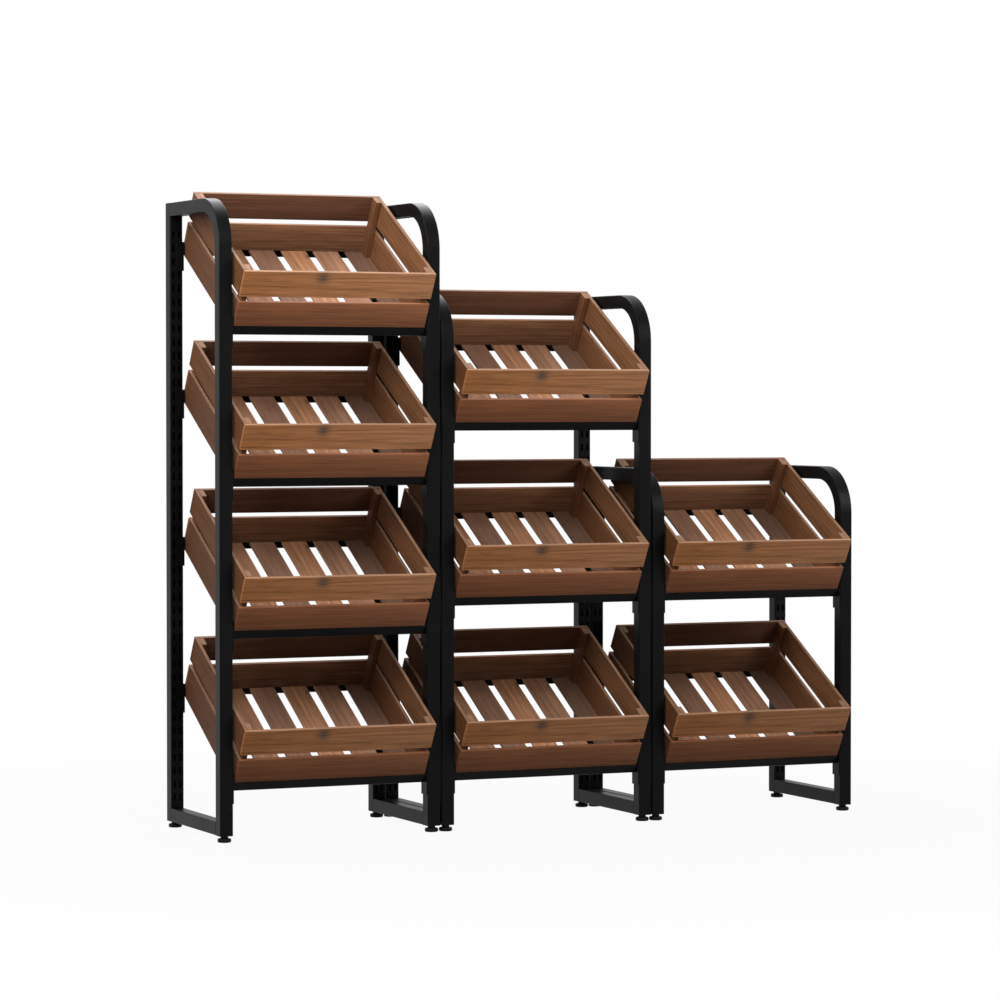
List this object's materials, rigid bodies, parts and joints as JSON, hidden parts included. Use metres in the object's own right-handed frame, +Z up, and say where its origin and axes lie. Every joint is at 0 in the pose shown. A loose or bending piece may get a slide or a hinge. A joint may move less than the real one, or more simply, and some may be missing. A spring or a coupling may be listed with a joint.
{
  "type": "produce display shelf",
  "caption": "Stepped row of black steel-tube stands on levelling feet, with hooked angle bars that cradle tilted slatted wooden crates, which lift out.",
  "frame": {"origin": "on the floor under the middle of the row's bounding box", "axes": "+X along the row towards the low stand, -Y towards the shopper, +Z up"},
  "size_m": [1.671, 0.4386, 1.5177],
  "materials": {
    "powder_coat": "satin black powder coat",
    "foot_steel": "semi-matt black",
    "insert_plastic": "moulded black plastic",
    "stained_wood": "brown-stained softwood, satin"
  },
  "bodies": {
    "stands": {"tall_stand_left_front_tube": "powder_coat", "tall_stand_left_rear_post": "powder_coat", "tall_stand_left_bottom_rail": "powder_coat", "tall_stand_right_front_tube": "powder_coat", "tall_stand_right_rear_post": "powder_coat", "tall_stand_right_bottom_rail": "powder_coat", "tall_stand_front_bar_1": "powder_coat", "tall_stand_rear_bar_1": "powder_coat", "tall_stand_front_bar_2": "powder_coat", "tall_stand_rear_bar_2": "powder_coat", "tall_stand_front_bar_3": "powder_coat", "tall_stand_rear_bar_3": "powder_coat", "tall_stand_front_bar_4": "powder_coat", "tall_stand_rear_bar_4": "powder_coat", "middle_stand_left_front_tube": "powder_coat", "middle_stand_left_rear_post": "powder_coat", "middle_stand_left_bottom_rail": "powder_coat", "middle_stand_right_front_tube": "powder_coat", "middle_stand_right_rear_post": "powder_coat", "middle_stand_right_bottom_rail": "powder_coat", "middle_stand_front_bar_1": "powder_coat", "middle_stand_rear_bar_1": "powder_coat", "middle_stand_front_bar_2": "powder_coat", "middle_stand_rear_bar_2": "powder_coat", "middle_stand_front_bar_3": "powder_coat", "middle_stand_rear_bar_3": "powder_coat", "low_stand_left_front_tube": "powder_coat", "low_stand_left_rear_post": "powder_coat", "low_stand_left_bottom_rail": "powder_coat", "low_stand_right_front_tube": "powder_coat", "low_stand_right_rear_post": "powder_coat", "low_stand_right_bottom_rail": "powder_coat", "low_stand_front_bar_1": "powder_coat", "low_stand_rear_bar_1": "powder_coat", "low_stand_front_bar_2": "powder_coat", "low_stand_rear_bar_2": "powder_coat", "foot_inserts": "insert_plastic"},
    "tall_stand_left_front_foot": {"tall_stand_left_front_foot": "foot_steel"},
    "tall_stand_left_rear_foot": {"tall_stand_left_rear_foot": "foot_steel"},
    "tall_stand_right_front_foot": {"tall_stand_right_front_foot": "foot_steel"},
    "tall_stand_right_rear_foot": {"tall_stand_right_rear_foot": "foot_steel"},
    "tall_stand_crate_1": {"tall_stand_crate_1": "stained_wood"},
    "tall_stand_crate_2": {"tall_stand_crate_2": "stained_wood"},
    "tall_stand_crate_3": {"tall_stand_crate_3": "stained_wood"},
    "tall_stand_crate_4": {"tall_stand_crate_4": "stained_wood"},
    "middle_stand_left_front_foot": {"middle_stand_left_front_foot": "foot_steel"},
    "middle_stand_left_rear_foot": {"middle_stand_left_rear_foot": "foot_steel"},
    "middle_stand_right_front_foot": {"middle_stand_right_front_foot": "foot_steel"},
    "middle_stand_right_rear_foot": {"middle_stand_right_rear_foot": "foot_steel"},
    "middle_stand_crate_1": {"middle_stand_crate_1": "stained_wood"},
    "middle_stand_crate_2": {"middle_stand_crate_2": "stained_wood"},
    "middle_stand_crate_3": {"middle_stand_crate_3": "stained_wood"},
    "low_stand_left_front_foot": {"low_stand_left_front_foot": "foot_steel"},
    "low_stand_left_rear_foot": {"low_stand_left_rear_foot": "foot_steel"},
    "low_stand_right_front_foot": {"low_stand_right_front_foot": "foot_steel"},
    "low_stand_right_rear_foot": {"low_stand_right_rear_foot": "foot_steel"},
    "low_stand_crate_1": {"low_stand_crate_1": "stained_wood"},
    "low_stand_crate_2": {"low_stand_crate_2": "stained_wood"}
  },
  "joints": [
    {"name": "tall_stand_left_front_foot_adjust", "type": "slide", "parent": "stands", "child": "tall_stand_left_front_foot", "axis": [0, 0, -1], "range_m": [0, 0.015]},
    {"name": "tall_stand_left_rear_foot_adjust", "type": "slide", "parent": "stands", "child": "tall_stand_left_rear_foot", "axis": [0, 0, -1], "range_m": [0, 0.015]},
    {"name": "tall_stand_right_front_foot_adjust", "type": "slide", "parent": "stands", "child": "tall_stand_right_front_foot", "axis": [0, 0, -1], "range_m": [0, 0.015]},
    {"name": "tall_stand_right_rear_foot_adjust", "type": "slide", "parent": "stands", "child": "tall_stand_right_rear_foot", "axis": [0, 0, -1], "range_m": [0, 0.015]},
    {"name": "tall_stand_crate_1_lift", "type": "slide", "parent": "stands", "child": "tall_stand_crate_1", "axis": [0, -0.5, 0.866], "range_m": [0, 0.12]},
    {"name": "tall_stand_crate_2_lift", "type": "slide", "parent": "stands", "child": "tall_stand_crate_2", "axis": [0, -0.5, 0.866], "range_m": [0, 0.12]},
    {"name": "tall_stand_crate_3_lift", "type": "slide", "parent": "stands", "child": "tall_stand_crate_3", "axis": [0, -0.5, 0.866], "range_m": [0, 0.12]},
    {"name": "tall_stand_crate_4_lift", "type": "slide", "parent": "stands", "child": "tall_stand_crate_4", "axis": [0, -0.5, 0.866], "range_m": [0, 0.12]},
    {"name": "middle_stand_left_front_foot_adjust", "type": "slide", "parent": "stands", "child": "middle_stand_left_front_foot", "axis": [0, 0, -1], "range_m": [0, 0.015]},
    {"name": "middle_stand_left_rear_foot_adjust", "type": "slide", "parent": "stands", "child": "middle_stand_left_rear_foot", "axis": [0, 0, -1], "range_m": [0, 0.015]},
    {"name": "middle_stand_right_front_foot_adjust", "type": "slide", "parent": "stands", "child": "middle_stand_right_front_foot", "axis": [0, 0, -1], "range_m": [0, 0.015]},
    {"name": "middle_stand_right_rear_foot_adjust", "type": "slide", "parent": "stands", "child": "middle_stand_right_rear_foot", "axis": [0, 0, -1], "range_m": [0, 0.015]},
    {"name": "middle_stand_crate_1_lift", "type": "slide", "parent": "stands", "child": "middle_stand_crate_1", "axis": [0, -0.5, 0.866], "range_m": [0, 0.16]},
    {"name": "middle_stand_crate_2_lift", "type": "slide", "parent": "stands", "child": "middle_stand_crate_2", "axis": [0, -0.5, 0.866], "range_m": [0, 0.16]},
    {"name": "middle_stand_crate_3_lift", "type": "slide", "parent": "stands", "child": "middle_stand_crate_3", "axis": [0, -0.5, 0.866], "range_m": [0, 0.16]},
    {"name": "low_stand_left_front_foot_adjust", "type": "slide", "parent": "stands", "child": "low_stand_left_front_foot", "axis": [0, 0, -1], "range_m": [0, 0.015]},
    {"name": "low_stand_left_rear_foot_adjust", "type": "slide", "parent": "stands", "child": "low_stand_left_rear_foot", "axis": [0, 0, -1], "range_m": [0, 0.015]},
    {"name": "low_stand_right_front_foot_adjust", "type": "slide", "parent": "stands", "child": "low_stand_right_front_foot", "axis": [0, 0, -1], "range_m": [0, 0.015]},
    {"name": "low_stand_right_rear_foot_adjust", "type": "slide", "parent": "stands", "child": "low_stand_right_rear_foot", "axis": [0, 0, -1], "range_m": [0, 0.015]},
    {"name": "low_stand_crate_1_lift", "type": "slide", "parent": "stands", "child": "low_stand_crate_1", "axis": [0, -0.5, 0.866], "range_m": [0, 0.16]},
    {"name": "low_stand_crate_2_lift", "type": "slide", "parent": "stands", "child": "low_stand_crate_2", "axis": [0, -0.5, 0.866], "range_m": [0, 0.16]}
  ]
}
